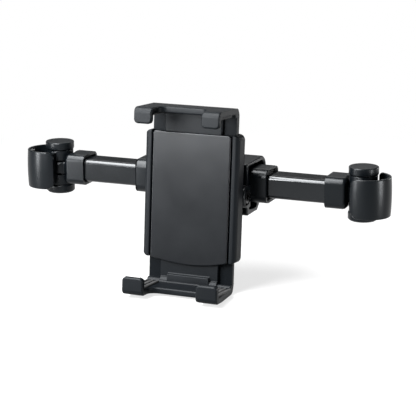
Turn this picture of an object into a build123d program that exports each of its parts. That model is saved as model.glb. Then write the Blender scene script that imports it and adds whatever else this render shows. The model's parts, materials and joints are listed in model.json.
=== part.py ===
from build123d import *
import os
from math import acos, cos, floor, pi, radians, sin, tan

# Headrest tablet mount, in millimetres. X runs along the crossbar, to the right of the person who looks
# at the tablet, Y points away from that person and Z points up. The origin is the middle of the crossbar.

# Fits
slide_gap = 0.3
guide_gap = 0.15
seat_gap = 0.05
bore_gap = 0.05

# Modelling allowances: how far a cut runs past a face, and how near counts as the same place
overcut = 1.0
near = 0.01

# Telescopic arms
tube_height = 15.8
tube_depth = 19.2
tube_wall = 1.5
tube_corner = 3.0
least_corner = 0.5
arm_reach = 101.0
arm_out = 10.5
arm_pushed_home = 1.5
arm_pulled_out = 21.5
plug_flange = 2.0
plug_depth = 8.0
plug_wall = 2.0

# Crossbar sleeve
sleeve_half = 47.8
sleeve_play = 0.5
collar_height = 23.4
collar_depth = 24.2
collar_corner = 6.0
collar_length = 11.5
collar_flare = 3.0
collar_chamfer = 0.8
waist_height = 20.6
waist_depth = 22.4
waist_corner = 3.0
mouth_recess = 2.0
bush_length = 4.5
bush_wall = 0.9
stop_inset = 8.8

# Screws
screw_radius = 1.4
screw_head_radius = 2.7
screw_head_height = 1.6
screw_bite = 5.0
stop_screw_radius = 1.5
stop_bite = 1.2

# Where the holder and its saddle sit along the bar
holder_x = 3.2

# Hub saddle, as its outline is seen from the end of the bar
saddle_wall = 3.0
saddle_top = 16.0
saddle_back = 22.0
saddle_bottom = -20.0
saddle_front = -15.4
saddle_heel_y = 3.0
saddle_heel_z = -5.0
saddle_hood_radius = 9.0
saddle_edge_radius = 3.0
rib_x = 18.0
rib_thickness = 2.5
saddle_screw_x = 9.0
saddle_screw_y = 4.0
saddle_boss_radius = 4.2

# Tilt hinge between the saddle and the holder
knuckle_radius = 5.0
knuckle_clear = 0.6
tilt_axis_z = -6.0
tilt_deg = 5.0
cheek_width = 7.5
cheek_step = 1.0
cheek_radius = 7.5
tilt_bolt_radius = 2.5
bolt_head_radius = 4.3
bolt_head_height = 2.4
bracket_half = 12.0
bolt_web = 1.0

# Turntable on the back of the holder
turntable_radius = 15.5
turntable_thickness = 2.2
turntable_clear = 0.2
spigot_radius = 5.0
washer_radius = 15.0
washer_thickness = 0.6
retainer_radius = 8.6
retainer_thickness = 1.0
retainer_float = 0.1

# Holder casing, seen from the front
panel_half_width = 27.6
panel_half_height = 42.6
panel_sag = 3.7
panel_corner = 1.6
cover_thickness = 2.2
rail_groove = 0.8
body_half_width = 33.5
shell_half_height = 43.0
shell_corner = 4.0
side_wall = 3.6
back_wall = 2.6
rail_set_back = 0.4
rail_round = 3.0
back_round = 3.0
cover_boss_x = 16.4
cover_boss_z = 30.0
cover_boss_radius = 2.9

# Jaws
jaw_stroke = 34.0
plate_thickness = 2.6
plate_half_width = 20.5
plate_end = 39.0
leg_thickness = 4.7
arm_inner = 19.7
arm_end = 2.0
jaw_wall = 4.2
lip_wall = 4.0
lip_corner = 3.0
lip_edge = 1.2
notch_corner = 5.5
notch_depth = 14.0
top_flange = 60.5
top_lip_height = 10.9
top_lip_reach = 27.6
top_lip_inner = 17.3
top_lip_inset = 3.6
top_back_radius = 6.0
top_front_radius = 4.0
bottom_flange = 63.8
bottom_lip_height = 12.1
bottom_lip_reach = 31.8
bottom_lip_inner = 18.6
bottom_lip_overhang = 0.2
bottom_back_radius = 6.5
bottom_front_radius = 3.6
sill_half = 15.0
sill_height = 5.8
sill_thickness = 2.2
sill_bevel = 0.5
ledge_height = 3.4
ledge_thickness = 1.6
ledge_bevel = 1.4
pad_thickness = 1.2
pad_inset = 1.2
pad_groove = 1.0
pad_groove_count = 3
pad_back_gap = 2.0
pad_groove_depth = 0.6

# Rack and pinion
gear_module = 1.0
pinion_teeth = 14
flank_points = 4
pressure_angle = 20.0
rack_addendum = 0.75
pinion_addendum = 0.9
gear_dedendum = 1.15
backlash = 0.12
rack_back = 13.0
pinion_axle_radius = 2.0
pinion_shoulder_radius = 4.0

# Jaw springs
spring_post_z = 10.6
spring_peg_z = 41.4
spring_peg_radius = 1.0
spring_wire = 0.8
spring_turns = 16
spring_radius = 2.0

# Arm ends and hooks, about the vertical pivot, with X pointing away from the holder
end_collar_height = 21.3
end_collar_depth = 23.0
end_collar_corner = 4.5
end_collar_inner = 23.4
end_collar_outer = 9.0
tube_seat = 13.6
tube_mouth_gap = 1.0
tube_mouth_depth = 1.8
barrel_radius = 9.4
barrel_half = 12.2
knuckle_half = 5.0
knuckle_inset = 0.2
neck_half_depth = 7.0
pivot_bolt_radius = 3.0
post_radius = 5.0
post_clear = 0.3
pad_middle = 1.1
hook_wall = 2.3
hook_half_height = 13.2
hook_crown = 0.5
hook_direction = -50.0
hook_centre = 8.4
hook_front_angle = -128.0
hook_back_angle = 75.0
hook_front_corner = 5.5
hook_back_corner = 2.5
web_inner = -1.5
web_outer = 2.5
web_half_height = 11.0
pad_half_angle = 72.0
pad_half_height = 12.4
knob_radius = 10.0
knob_height = 5.4
knob_edge = 0.8
cap_height = 5.8
cap_edge = 1.2
blind_depth = 4.0


def block(x0, x1, y0, y1, z0, z1):
    """Box between two corners."""
    return Pos((x0 + x1) / 2, (y0 + y1) / 2, (z0 + z1) / 2) * Box(x1 - x0, y1 - y0, z1 - z0)


def rod_x(radius, x0, x1, y=0.0, z=0.0):
    """Round bar along X."""
    return Pos((x0 + x1) / 2, y, z) * Rot(0, 90, 0) * Cylinder(radius, x1 - x0)


def rod_y(radius, y0, y1, x=0.0, z=0.0):
    """Round bar along Y."""
    return Pos(x, (y0 + y1) / 2, z) * Rot(90, 0, 0) * Cylinder(radius, y1 - y0)


def rod_z(radius, z0, z1, x=0.0, y=0.0):
    """Round bar along Z."""
    return Pos(x, y, (z0 + z1) / 2) * Cylinder(radius, z1 - z0)


def bar_section(depth, height, corner):
    """Rounded section of a bar along X."""
    return Plane.YZ * RectangleRounded(depth, height, corner)


def bar_x(depth, height, corner, x0, x1):
    """Rounded rectangular bar along X."""
    return Pos(x0, 0, 0) * extrude(bar_section(depth, height, corner), x1 - x0)


def tube_outline(grow, x0, x1):
    """Solid with the arm tube's outline, grown by a gap on every side."""
    corner = max(tube_corner + grow, least_corner)
    return bar_x(tube_depth + 2 * grow, tube_height + 2 * grow, corner, x0, x1)


def plate_xz(face, y0, y1):
    """Face drawn as seen from the front, made a plate between two depths."""
    return Pos(0, y1, 0) * extrude(Plane.XZ * face, y1 - y0)


def polygon(points):
    """Closed flat face through points, in its own XY plane."""
    return make_face(Polyline(*points, close=True))


def both_sides(part):
    """A piece and its mirror image on the other side of the middle."""
    return part + mirror(part, about=Plane.YZ)


def pan_screw(head_radius, head_height, shank_radius, shank_length):
    """Screw with its head from 0 to the head's height and its shank below, along Z."""
    head = fillet(rod_z(head_radius, 0, head_height).edges().sort_by(Axis.Z)[-1], head_height / 3)
    return head + rod_z(shank_radius, -shank_length, 0)


# The crossbar's fixed part, with hinge cheeks as wide apart as the holder's casing

cheek_outer = body_half_width
cheek_inner = cheek_outer - cheek_width
saddle_half = cheek_outer - cheek_step
tilt_axis_y = -(waist_depth / 2 + knuckle_clear + knuckle_radius)
collar_start = sleeve_half - collar_length
bush_start = sleeve_half - mouth_recess - bush_length
stop_x = sleeve_half - stop_inset
saddle_head_seat = saddle_bottom + screw_head_height + slide_gap
bolt_seat = cheek_outer - bolt_head_height - slide_gap


def crossbar_sleeve():
    """Hollow sleeve with a flared collar at each end, open from end to end."""
    waist = bar_x(waist_depth, waist_height, waist_corner, -collar_start, collar_start)
    collar = bar_x(collar_depth, collar_height, collar_corner, collar_start, sleeve_half)
    rim = collar.faces().sort_by(Axis.X)[-1].outer_wire().edges()
    collar = chamfer(rim, collar_chamfer)
    flare = loft([
        Pos(collar_start - collar_flare, 0, 0) * bar_section(waist_depth, waist_height, waist_corner),
        Pos(collar_start, 0, 0) * bar_section(collar_depth, collar_height, collar_corner),
    ])
    body = waist + both_sides(collar + flare)
    bore = tube_outline(sleeve_play, -sleeve_half, sleeve_half)
    pocket = tube_outline(guide_gap + bush_wall + seat_gap, bush_start, sleeve_half + overcut)
    body = body - bore - both_sides(pocket)
    stop_hole = rod_y(stop_screw_radius + seat_gap, 0, collar_depth, stop_x)
    body = body - both_sides(stop_hole)
    for x in (-saddle_screw_x, saddle_screw_x):
        for y in (-saddle_screw_y, saddle_screw_y):
            body = body - rod_z(screw_radius + seat_gap, -waist_height, 0, holder_x + x, y)
    return body


def mouth_bush():
    """Guide frame round the tube, in the right mouth of the sleeve."""
    outer = tube_outline(guide_gap + bush_wall, bush_start, bush_start + bush_length)
    return outer - tube_outline(guide_gap, bush_start - overcut, sleeve_half)


def stop_screw():
    """Screw through the back of the right collar, with its end in the tube's slot."""
    shank = collar_depth / 2 - tube_depth / 2 + stop_bite
    screw = pan_screw(screw_head_radius, screw_head_height, stop_screw_radius, shank)
    return Pos(stop_x, collar_depth / 2, 0) * Rot(-90, 0, 0) * screw


def saddle_outline(inset):
    """Outline of the hub saddle seen along X, drawn inset by a wall."""
    corners = polygon([
        (saddle_front, saddle_bottom),
        (saddle_heel_y, saddle_bottom),
        (saddle_back, saddle_heel_z),
        (saddle_back, saddle_top),
        (saddle_front, saddle_top),
    ])
    hood = corners.vertices().sort_by_distance((saddle_back, saddle_top))[0]
    outline = fillet(hood, saddle_hood_radius)
    others = outline.vertices().sort_by_distance((saddle_front, saddle_top))
    front_top = others[0]
    outline = fillet(front_top, saddle_edge_radius / 2)
    heels = outline.vertices().filter_by(lambda v: v.Y < saddle_heel_z + near)
    outline = fillet(heels, saddle_edge_radius)
    if inset > 0:
        outline = offset(outline, -inset)
    return Plane.YZ * outline


def hub_saddle():
    """Hood round the sleeve, with ribs that seat on it and cheeks for the tilt hinge."""
    shell = extrude(saddle_outline(0) - saddle_outline(saddle_wall), saddle_half, both=True)
    hollow = saddle_outline(saddle_wall - seat_gap)
    rib_section = hollow - bar_section(waist_depth + 2 * seat_gap, waist_height + 2 * seat_gap, waist_corner)
    rib = Pos(rib_x, 0, 0) * extrude(rib_section, rib_thickness / 2, both=True)
    body = shell + both_sides(rib)
    boss_top = -waist_height / 2 - seat_gap
    for x in (-saddle_screw_x, saddle_screw_x):
        for y in (-saddle_screw_y, saddle_screw_y):
            body = body + rod_z(saddle_boss_radius, saddle_bottom + saddle_wall / 2, boss_top, x, y)
    for x in (-saddle_screw_x, saddle_screw_x):
        for y in (-saddle_screw_y, saddle_screw_y):
            body = body - rod_z(screw_radius + seat_gap, saddle_bottom - overcut, 0, x, y)
            pocket = rod_z(screw_head_radius + slide_gap, saddle_bottom - overcut, saddle_head_seat, x, y)
            body = body - pocket
    inside_front = saddle_front + saddle_wall
    tongue = block(cheek_inner, cheek_outer, tilt_axis_y, inside_front, tilt_axis_z - cheek_radius,
                   tilt_axis_z + cheek_radius)
    nose = rod_x(cheek_radius, cheek_inner, cheek_outer, tilt_axis_y, tilt_axis_z)
    nose = nose & block(cheek_inner, cheek_outer, tilt_axis_y - cheek_radius, inside_front,
                        tilt_axis_z - cheek_radius, tilt_axis_z + cheek_radius)
    body = body + both_sides(tongue + nose)
    window = block(-cheek_inner, cheek_inner, saddle_front - overcut, inside_front + overcut,
                   tilt_axis_z - knuckle_radius - 2 * knuckle_clear,
                   tilt_axis_z + knuckle_radius + 2 * knuckle_clear)
    body = body - window
    bolt_hole = rod_x(tilt_bolt_radius + seat_gap, 0, cheek_outer + overcut, tilt_axis_y, tilt_axis_z)
    head_pocket = rod_x(bolt_head_radius + slide_gap, bolt_seat, cheek_outer + overcut, tilt_axis_y,
                        tilt_axis_z)
    return body - both_sides(bolt_hole + head_pocket)


def saddle_screws():
    """Four screws that come up through the saddle into the sleeve's floor."""
    floor_thickness = waist_height / 2 - tube_height / 2 - sleeve_play
    length = -waist_height / 2 - saddle_head_seat + floor_thickness - slide_gap
    screw = Rot(180, 0, 0) * pan_screw(screw_head_radius, screw_head_height, screw_radius, length)
    screws = []
    for x in (-saddle_screw_x, saddle_screw_x):
        for y in (-saddle_screw_y, saddle_screw_y):
            screws.append(Pos(x, y, saddle_head_seat) * screw)
    return Part() + screws


def tilt_bolt():
    """Hinge bolt along X, with its head sunk in the right cheek."""
    shank = rod_x(tilt_bolt_radius, -bolt_seat - bolt_head_height, bolt_seat, tilt_axis_y, tilt_axis_z)
    head = rod_x(bolt_head_radius, bolt_seat, bolt_seat + bolt_head_height, tilt_axis_y, tilt_axis_z)
    key_half = bolt_head_radius / 2
    socket = Pos(bolt_seat + bolt_head_height / 2, tilt_axis_y, tilt_axis_z) * extrude(
        Plane.YZ * RegularPolygon(key_half, 6), bolt_head_height)
    return shank + head - socket


def tilt_nut():
    """Round nut on the bolt's left end, sunk in the left cheek."""
    nut = rod_x(bolt_head_radius, -bolt_seat - bolt_head_height, -bolt_seat, tilt_axis_y, tilt_axis_z)
    return nut - rod_x(tilt_bolt_radius + seat_gap / 2, -cheek_outer, 0, tilt_axis_y, tilt_axis_z)


# The holder, drawn upright about its tilt axis and then leant back

holder_place = Location((holder_x, tilt_axis_y, tilt_axis_z), (-tilt_deg, 0, 0))

turntable_back = -(knuckle_radius + turntable_clear)
turntable_front = turntable_back - turntable_thickness
shell_back = turntable_front - washer_thickness
wall_front = shell_back - back_wall
leg_back = wall_front - slide_gap
leg_front = leg_back - leg_thickness
plate_back = leg_front - slide_gap
plate_front = plate_back - plate_thickness
cover_back = plate_front - slide_gap
panel_face = cover_back - cover_thickness
rail_face = panel_face + rail_set_back
opening_half = panel_half_width + rail_groove
cavity_half = body_half_width - side_wall
slide_half = cavity_half - slide_gap
keeper_floor = wall_front + retainer_thickness + 2 * retainer_float
pilot_end = min(keeper_floor + screw_bite, -tilt_bolt_radius - bolt_web)


def tilt_bracket():
    """Hinge knuckle with the round turntable plate and the spigot that the holder turns on."""
    knuckle_length = cheek_inner - slide_gap
    knuckle = rod_x(knuckle_radius, -knuckle_length, knuckle_length)
    stem = block(-bracket_half, bracket_half, turntable_front, 0, -knuckle_radius, knuckle_radius)
    table = rod_y(turntable_radius, turntable_front, turntable_back)
    rim = table.edges().filter_by(GeomType.CIRCLE).sort_by(Axis.Y)[-1]
    table = fillet(rim, turntable_thickness / 3)
    spigot = rod_y(spigot_radius, keeper_floor - retainer_float, turntable_front)
    body = knuckle + stem + table + spigot
    body = body - rod_x(tilt_bolt_radius + bore_gap, -cheek_inner, cheek_inner)
    return body - rod_y(screw_radius + seat_gap, keeper_floor - overcut, pilot_end)


def swivel_washer():
    """Friction ring between the turntable and the holder's back."""
    ring = rod_y(washer_radius, shell_back, turntable_front)
    return ring - rod_y(spigot_radius + 2 * slide_gap, shell_back - overcut, turntable_front + overcut)


def swivel_retainer():
    """Keeper plate on the spigot's end, let into the back wall's inner face."""
    plate_face = wall_front + retainer_float
    plate = rod_y(retainer_radius, plate_face, plate_face + retainer_thickness)
    sink = Pos(0, plate_face, 0) * Rot(-90, 0, 0) * Pos(0, 0, retainer_thickness / 2) * Cone(
        screw_head_radius, screw_radius + seat_gap, retainer_thickness)
    return plate - sink


def retainer_screw():
    """Countersunk screw through the keeper plate into the spigot."""
    head_face = wall_front + retainer_float
    head = Pos(0, head_face, 0) * Rot(-90, 0, 0) * Pos(0, 0, retainer_thickness / 2) * Cone(
        screw_head_radius - seat_gap, screw_radius, retainer_thickness)
    return head + rod_y(screw_radius, head_face + retainer_thickness / 2, pilot_end - slide_gap)


def back_shell():
    """Channel-shaped casing, open at both ends, with rounded rails beside the front cover."""
    section = polygon([
        (-body_half_width, rail_face),
        (body_half_width, rail_face),
        (body_half_width, shell_back),
        (-body_half_width, shell_back),
    ])
    section = fillet(section.vertices().filter_by(lambda v: v.Y < rail_face + near), rail_round)
    section = fillet(section.vertices().filter_by(lambda v: v.Y > shell_back - near), back_round)
    front_slot = Pos(0, (rail_face + leg_front) / 2, 0) * Rectangle(
        2 * opening_half, leg_front - rail_face + 2 * overcut)
    slide_way = Pos(0, (plate_back + wall_front) / 2, 0) * Rectangle(2 * cavity_half, wall_front - plate_back)
    channel = extrude(section - front_slot - slide_way, shell_half_height, both=True)
    outline = RectangleRounded(2 * body_half_width, 2 * shell_half_height, shell_corner)
    body = channel & plate_xz(outline, panel_face - overcut, shell_back + overcut)
    for z in (-spring_post_z, spring_post_z):
        body = body + rod_y(spring_peg_radius, leg_front + slide_gap, wall_front + back_wall / 2, 0, z)
    body = body - rod_y(spigot_radius + bore_gap, wall_front - overcut, shell_back + overcut)
    body = body - rod_y(retainer_radius + slide_gap, wall_front - overcut, keeper_floor)
    for x in (-cover_boss_x, cover_boss_x):
        for z in (-cover_boss_z, cover_boss_z):
            head_seat = shell_back - screw_head_height
            body = body - rod_y(screw_radius + seat_gap, wall_front - overcut, shell_back + overcut, x, z)
            body = body - rod_y(screw_head_radius + slide_gap, head_seat, shell_back + overcut, x, z)
    return body


def front_cover():
    """Flat front panel with a bowed lower edge, four screw bosses and the pinion's axle."""
    outline = make_face([
        Polyline(
            (-panel_half_width, -panel_half_height),
            (-panel_half_width, panel_half_height),
            (panel_half_width, panel_half_height),
            (panel_half_width, -panel_half_height),
        ),
        ThreePointArc(
            (panel_half_width, -panel_half_height),
            (0, -panel_half_height - panel_sag),
            (-panel_half_width, -panel_half_height),
        ),
    ])
    outline = fillet(outline.vertices(), panel_corner)
    panel = plate_xz(outline, panel_face, cover_back)
    rim = panel.faces().sort_by(Axis.Y)[0].outer_wire().edges()
    panel = fillet(rim, cover_thickness / 3)
    for x in (-cover_boss_x, cover_boss_x):
        for z in (-cover_boss_z, cover_boss_z):
            panel = panel + rod_y(cover_boss_radius, cover_back - cover_thickness / 2, wall_front, x, z)
            pilot = rod_y(screw_radius + seat_gap, wall_front - screw_bite - slide_gap, wall_front, x, z)
            panel = panel - pilot
    panel = panel + rod_y(pinion_shoulder_radius, cover_back - cover_thickness / 2, leg_front)
    return panel + rod_y(pinion_axle_radius, cover_back, leg_back)


def cover_screws():
    """Four screws through the back wall into the cover's bosses."""
    length = back_wall - screw_head_height + screw_bite
    screw = Rot(-90, 0, 0) * pan_screw(screw_head_radius, screw_head_height, screw_radius, length)
    seat = shell_back - screw_head_height
    screws = []
    for x in (-cover_boss_x, cover_boss_x):
        for z in (-cover_boss_z, cover_boss_z):
            screws.append(Pos(x, seat, z) * screw)
    return Part() + screws


top_lip_outer = body_half_width - top_lip_inset
bottom_lip_outer = body_half_width + bottom_lip_overhang
pitch_radius = gear_module * pinion_teeth / 2
rack_pitch = pi * gear_module
rack_tip = pitch_radius - rack_addendum
rack_root = pitch_radius + gear_dedendum
rack_end = -(jaw_stroke + rack_pitch)


def rack_tooth(level):
    """Straight-sided rack tooth that points to +X, on a rack left of the pinion."""
    slope = tan(radians(pressure_angle))
    half = rack_pitch / 4 - backlash / 2
    tip = half - rack_addendum * slope
    root = half + gear_dedendum * slope
    return polygon([
        (-rack_root - overcut, level - root),
        (-rack_root, level - root),
        (-rack_tip, level - tip),
        (-rack_tip, level + tip),
        (-rack_root, level + root),
        (-rack_root - overcut, level + root),
    ])


def jaw_pinion():
    """Spur gear with involute flanks, in mesh with both racks."""
    base = pitch_radius * cos(radians(pressure_angle))
    tip = pitch_radius + pinion_addendum
    root = pitch_radius - gear_dedendum
    half = pi / (2 * pinion_teeth) - backlash / (2 * pitch_radius)

    def involute(radius):
        roll = acos(base / radius)
        return tan(roll) - roll

    flank = [(root, half + involute(pitch_radius))]
    for step in range(flank_points):
        radius = base + (tip - base) * step / (flank_points - 1)
        flank.append((radius, half + involute(pitch_radius) - involute(radius)))
    points = []
    for tooth in range(pinion_teeth):
        middle = 2 * pi * tooth / pinion_teeth
        for radius, angle in flank:
            points.append((radius * cos(middle - angle), radius * sin(middle - angle)))
        for radius, angle in reversed(flank):
            points.append((radius * cos(middle + angle), radius * sin(middle + angle)))
    gear = plate_xz(polygon(points), leg_front + slide_gap, leg_back - slide_gap)
    return gear - rod_y(pinion_axle_radius + bore_gap, panel_face, shell_back)


def jaw(flange, lip_height, lip_reach, lip_inner, lip_outer, back_radius, front_radius):
    """Upper jaw: hooked flange, back plate, two side arms and a rack leg left of the pinion."""
    lip_front = panel_face - lip_reach
    lip_back = lip_front + lip_wall
    side = polygon([
        (leg_back, plate_end),
        (leg_back, flange),
        (lip_front, flange),
        (lip_front, flange - lip_height),
        (lip_back, flange - lip_height),
        (lip_back, flange - jaw_wall),
        (plate_front, flange - jaw_wall),
        (plate_front, plate_end),
    ])

    def corner(face, y, z):
        return face.vertices().sort_by_distance((y, z))[0]

    side = fillet(corner(side, leg_back, flange), back_radius)
    side = fillet(corner(side, lip_front, flange), front_radius)
    side = fillet(corner(side, lip_back, flange - jaw_wall), jaw_wall / 2)
    side = fillet(corner(side, plate_front, flange - jaw_wall), jaw_wall / 2)
    side = fillet(corner(side, lip_front, flange - lip_height), lip_wall / 3)
    side = fillet(corner(side, lip_back, flange - lip_height), lip_wall / 3)
    hooked = extrude(Plane.YZ * side, slide_half + lip_outer, both=True)

    lip_root = lip_back + overcut
    notch_floor = lip_front + notch_depth
    plan = polygon([
        (-slide_half, leg_back),
        (-lip_outer, lip_root),
        (-lip_outer, lip_front),
        (-lip_inner, lip_front),
        (-lip_inner, notch_floor),
        (lip_inner, notch_floor),
        (lip_inner, lip_front),
        (lip_outer, lip_front),
        (lip_outer, lip_root),
        (slide_half, leg_back),
    ])
    plan = fillet(plan.vertices().filter_by(lambda v: abs(v.Y - notch_floor) < near), notch_corner)
    hooked = hooked & extrude(plan, 2 * flange)

    lip_width = lip_outer - lip_inner
    lip_middle = (lip_inner + lip_outer) / 2
    lip_face = Pos(lip_middle, flange) * RectangleRounded(lip_width, 2 * lip_height, lip_corner)
    lip = plate_xz(lip_face, lip_front, lip_root)
    lip = fillet(lip.faces().sort_by(Axis.Y)[0].outer_wire().edges(), lip_edge)
    behind = block(-2 * slide_half, 2 * slide_half, lip_root, leg_back + overcut, 0, 2 * flange)
    hooked = hooked & (both_sides(lip) + behind)

    ceiling = flange - jaw_wall
    groove_top = ceiling - jaw_wall / 2
    skirt_end = shell_half_height + slide_gap
    for sign in (-1, 1):
        edges = sorted((sign * plate_half_width, sign * 2 * slide_half))
        hooked = hooked - block(edges[0], edges[1], plate_front - overcut, leg_front, 0, groove_top)
        skirt = sorted((sign * slide_half, sign * 2 * slide_half))
        hooked = hooked - block(skirt[0], skirt[1], plate_front - overcut, leg_back + overcut, 0, skirt_end)
    hooked = hooked - block(-plate_half_width, plate_half_width, plate_back, leg_back + overcut, 0,
                            groove_top)

    arm = block(arm_inner, slide_half, leg_front, leg_back, arm_end, groove_top)
    hooked = hooked + both_sides(arm)
    leg = block(-rack_back, -rack_root, leg_front, leg_back, rack_end, groove_top)
    leg = leg + block(-rack_back, -rack_root, plate_back - plate_thickness / 2, leg_back, plate_end,
                      groove_top)
    first = floor(rack_end / rack_pitch) + 1
    for index in range(first, 2):
        leg = leg + plate_xz(rack_tooth((index - 0.5) * rack_pitch), leg_front, leg_back)
    peg = rod_y(spring_peg_radius, plate_back - plate_thickness / 2, leg_back - slide_gap, 0, spring_peg_z)
    return hooked + leg + peg


def top_jaw():
    """Upper jaw."""
    return jaw(top_flange, top_lip_height, top_lip_reach, top_lip_inner, top_lip_outer, top_back_radius,
               top_front_radius)


def plate_step(half_width, thickness, height, bevel):
    """Step in the corner of the back plate and the flange, with its free edge cut at 45 degrees."""
    ceiling = bottom_flange - jaw_wall
    face = plate_front - thickness
    side = polygon([
        (plate_front + overcut, ceiling + overcut),
        (plate_front + overcut, ceiling - height),
        (face + bevel, ceiling - height),
        (face, ceiling - height + bevel),
        (face, ceiling + overcut),
    ])
    return extrude(Plane.YZ * side, half_width, both=True)


def bottom_jaw():
    """Lower jaw, the upper one turned over, with a deeper channel, a raised sill and two ledges."""
    body = jaw(bottom_flange, bottom_lip_height, bottom_lip_reach, bottom_lip_inner, bottom_lip_outer,
               bottom_back_radius, bottom_front_radius)
    sill = plate_step(sill_half, sill_thickness, sill_height, sill_bevel)
    ledges = plate_step(plate_half_width, ledge_thickness, ledge_height, ledge_bevel)
    return Rot(0, 180, 0) * (body + sill + ledges)


def jaw_pads(flange, lip_reach, lip_inner, lip_outer, stop):
    """Two ribbed rubber pads under the flange, one behind each lip."""
    ceiling = flange - jaw_wall - seat_gap
    front = panel_face - lip_reach + lip_wall + jaw_wall / 2
    inner = lip_inner + pad_inset
    outer = lip_outer - pad_inset
    pad = block(inner, outer, front, stop, ceiling - pad_thickness, ceiling)
    step = (outer - inner) / (pad_groove_count + 1)
    for index in range(pad_groove_count):
        middle = inner + step * (index + 1)
        pad = pad - block(middle - pad_groove / 2, middle + pad_groove / 2, front - overcut, stop + overcut,
                          ceiling - 2 * pad_thickness, ceiling - pad_thickness + pad_groove_depth)
    return both_sides(pad)


def top_jaw_pads():
    """Pads of the upper jaw."""
    return jaw_pads(top_flange, top_lip_reach, top_lip_inner, top_lip_outer, panel_face - pad_back_gap)


def bottom_jaw_pads():
    """Pads of the lower jaw."""
    pads = jaw_pads(bottom_flange, bottom_lip_reach, bottom_lip_inner, bottom_lip_outer,
                    plate_front - sill_thickness - pad_back_gap)
    return Rot(0, 180, 0) * pads


def jaw_spring():
    """Close-wound extension spring above the pinion, with a flat eye on the post and on the jaw's peg."""
    middle = (leg_front + leg_back) / 2
    eye_radius = spring_peg_radius + 2 * bore_gap + spring_wire
    coil_start = spring_post_z + eye_radius + spring_wire
    coil_end = spring_peg_z - eye_radius - spring_wire
    pitch = (coil_end - coil_start) / spring_turns
    inner = spring_radius - spring_wire
    points = [(inner, coil_start)]
    for turn in range(spring_turns):
        points.append((spring_radius - spring_wire / 2, coil_start + pitch * turn))
        points.append((spring_radius, coil_start + pitch * (turn + 0.5)))
    points.append((spring_radius - spring_wire / 2, coil_end))
    points.append((inner, coil_end))
    coil = revolve(Plane.XZ * polygon(points), Axis.Z)
    body = Pos(0, middle, 0) * coil
    flat_back = middle - spring_wire / 2
    flat_front = middle + spring_wire / 2
    neck_half = min(eye_radius, spring_radius)
    ends = ((spring_post_z, coil_start + spring_wire), (spring_peg_z, coil_end - spring_wire))
    for eye_z, neck_end in ends:
        eye = rod_y(eye_radius, flat_back, flat_front, 0, eye_z)
        neck = block(-neck_half, neck_half, flat_back, flat_front, min(eye_z, neck_end), max(eye_z, neck_end))
        hole = rod_y(spring_peg_radius + 2 * bore_gap, middle - spring_wire, middle + spring_wire, 0, eye_z)
        body = body + eye + neck - hole
    return body


# The arm ends, drawn about the right pivot

pivot_x = arm_out + arm_reach
barrel_top = barrel_half + slide_gap
stop_from_end_near = stop_x - arm_pulled_out
stop_from_end_far = stop_x - arm_pushed_home
tube_inner_end = -(arm_reach - plug_flange)
collar_screw_x = -(tube_seat + end_collar_inner) / 2 + tube_mouth_depth / 2
collar_head_seat = -end_collar_height / 2 + screw_head_height


def arm_tube():
    """Rectangular tube with a stop slot in its back wall."""
    body = tube_outline(0, tube_inner_end, -tube_seat)
    body = body - tube_outline(-tube_wall, tube_inner_end - overcut, 0)
    half_width = stop_screw_radius + slide_gap
    slot_length = stop_from_end_far - stop_from_end_near + 2 * half_width
    slot_middle = -arm_reach + (stop_from_end_near + stop_from_end_far) / 2
    slot = plate_xz(Pos(slot_middle, 0) * SlotOverall(slot_length, 2 * half_width), 0, tube_depth)
    screw_hole = rod_z(screw_radius + seat_gap, -tube_height, 0, collar_screw_x)
    return body - slot - screw_hole


def arm_end_plug():
    """Plug with a flange, in the tube's inner end."""
    flange = tube_outline(0, -arm_reach, tube_inner_end)
    core = tube_outline(-tube_wall - seat_gap, tube_inner_end - plug_flange / 2, tube_inner_end + plug_depth)
    hollow = tube_outline(-tube_wall - plug_wall, tube_inner_end, tube_inner_end + plug_depth + overcut)
    return flange + core - hollow


def end_collar():
    """Moulded end of the arm, hollowed to the hook's barrel, with the hinge's middle knuckle."""
    body = bar_x(end_collar_depth, end_collar_height, end_collar_corner, -end_collar_inner, -end_collar_outer)
    body = body - rod_z(barrel_radius + slide_gap, -end_collar_height, end_collar_height)
    knuckle = rod_z(barrel_radius - knuckle_inset, -knuckle_half, knuckle_half)
    neck = block(-tube_seat + slide_gap, 0, -neck_half_depth, neck_half_depth, -knuckle_half, knuckle_half)
    body = body + knuckle + neck
    body = body - rod_z(pivot_bolt_radius + seat_gap, -barrel_half, barrel_half)
    body = body - tube_outline(seat_gap, -end_collar_inner - overcut, -tube_seat)
    mouth_end = -end_collar_inner + tube_mouth_depth
    body = body - tube_outline(tube_mouth_gap, -end_collar_inner - overcut, mouth_end)
    body = body - rod_z(screw_radius + seat_gap, -end_collar_height, 0, collar_screw_x)
    return body - rod_z(screw_head_radius + slide_gap, -end_collar_height, collar_head_seat, collar_screw_x)


def collar_screw():
    """Screw up through the collar into the tube's floor."""
    length = -tube_height / 2 + tube_wall - collar_head_seat
    screw = Rot(180, 0, 0) * pan_screw(screw_head_radius, screw_head_height, screw_radius, length)
    return Pos(collar_screw_x, 0, collar_head_seat) * screw


post_reach = max(barrel_radius, knob_radius) + post_radius + post_clear
post_x = post_reach * cos(radians(hook_direction))
post_y = post_reach * sin(radians(hook_direction))
centre_x = hook_centre * cos(radians(hook_direction))
centre_y = hook_centre * sin(radians(hook_direction))
hook_inner_radius = post_reach - hook_centre + post_radius + pad_middle
hook_outer_radius = hook_inner_radius + hook_wall


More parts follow.
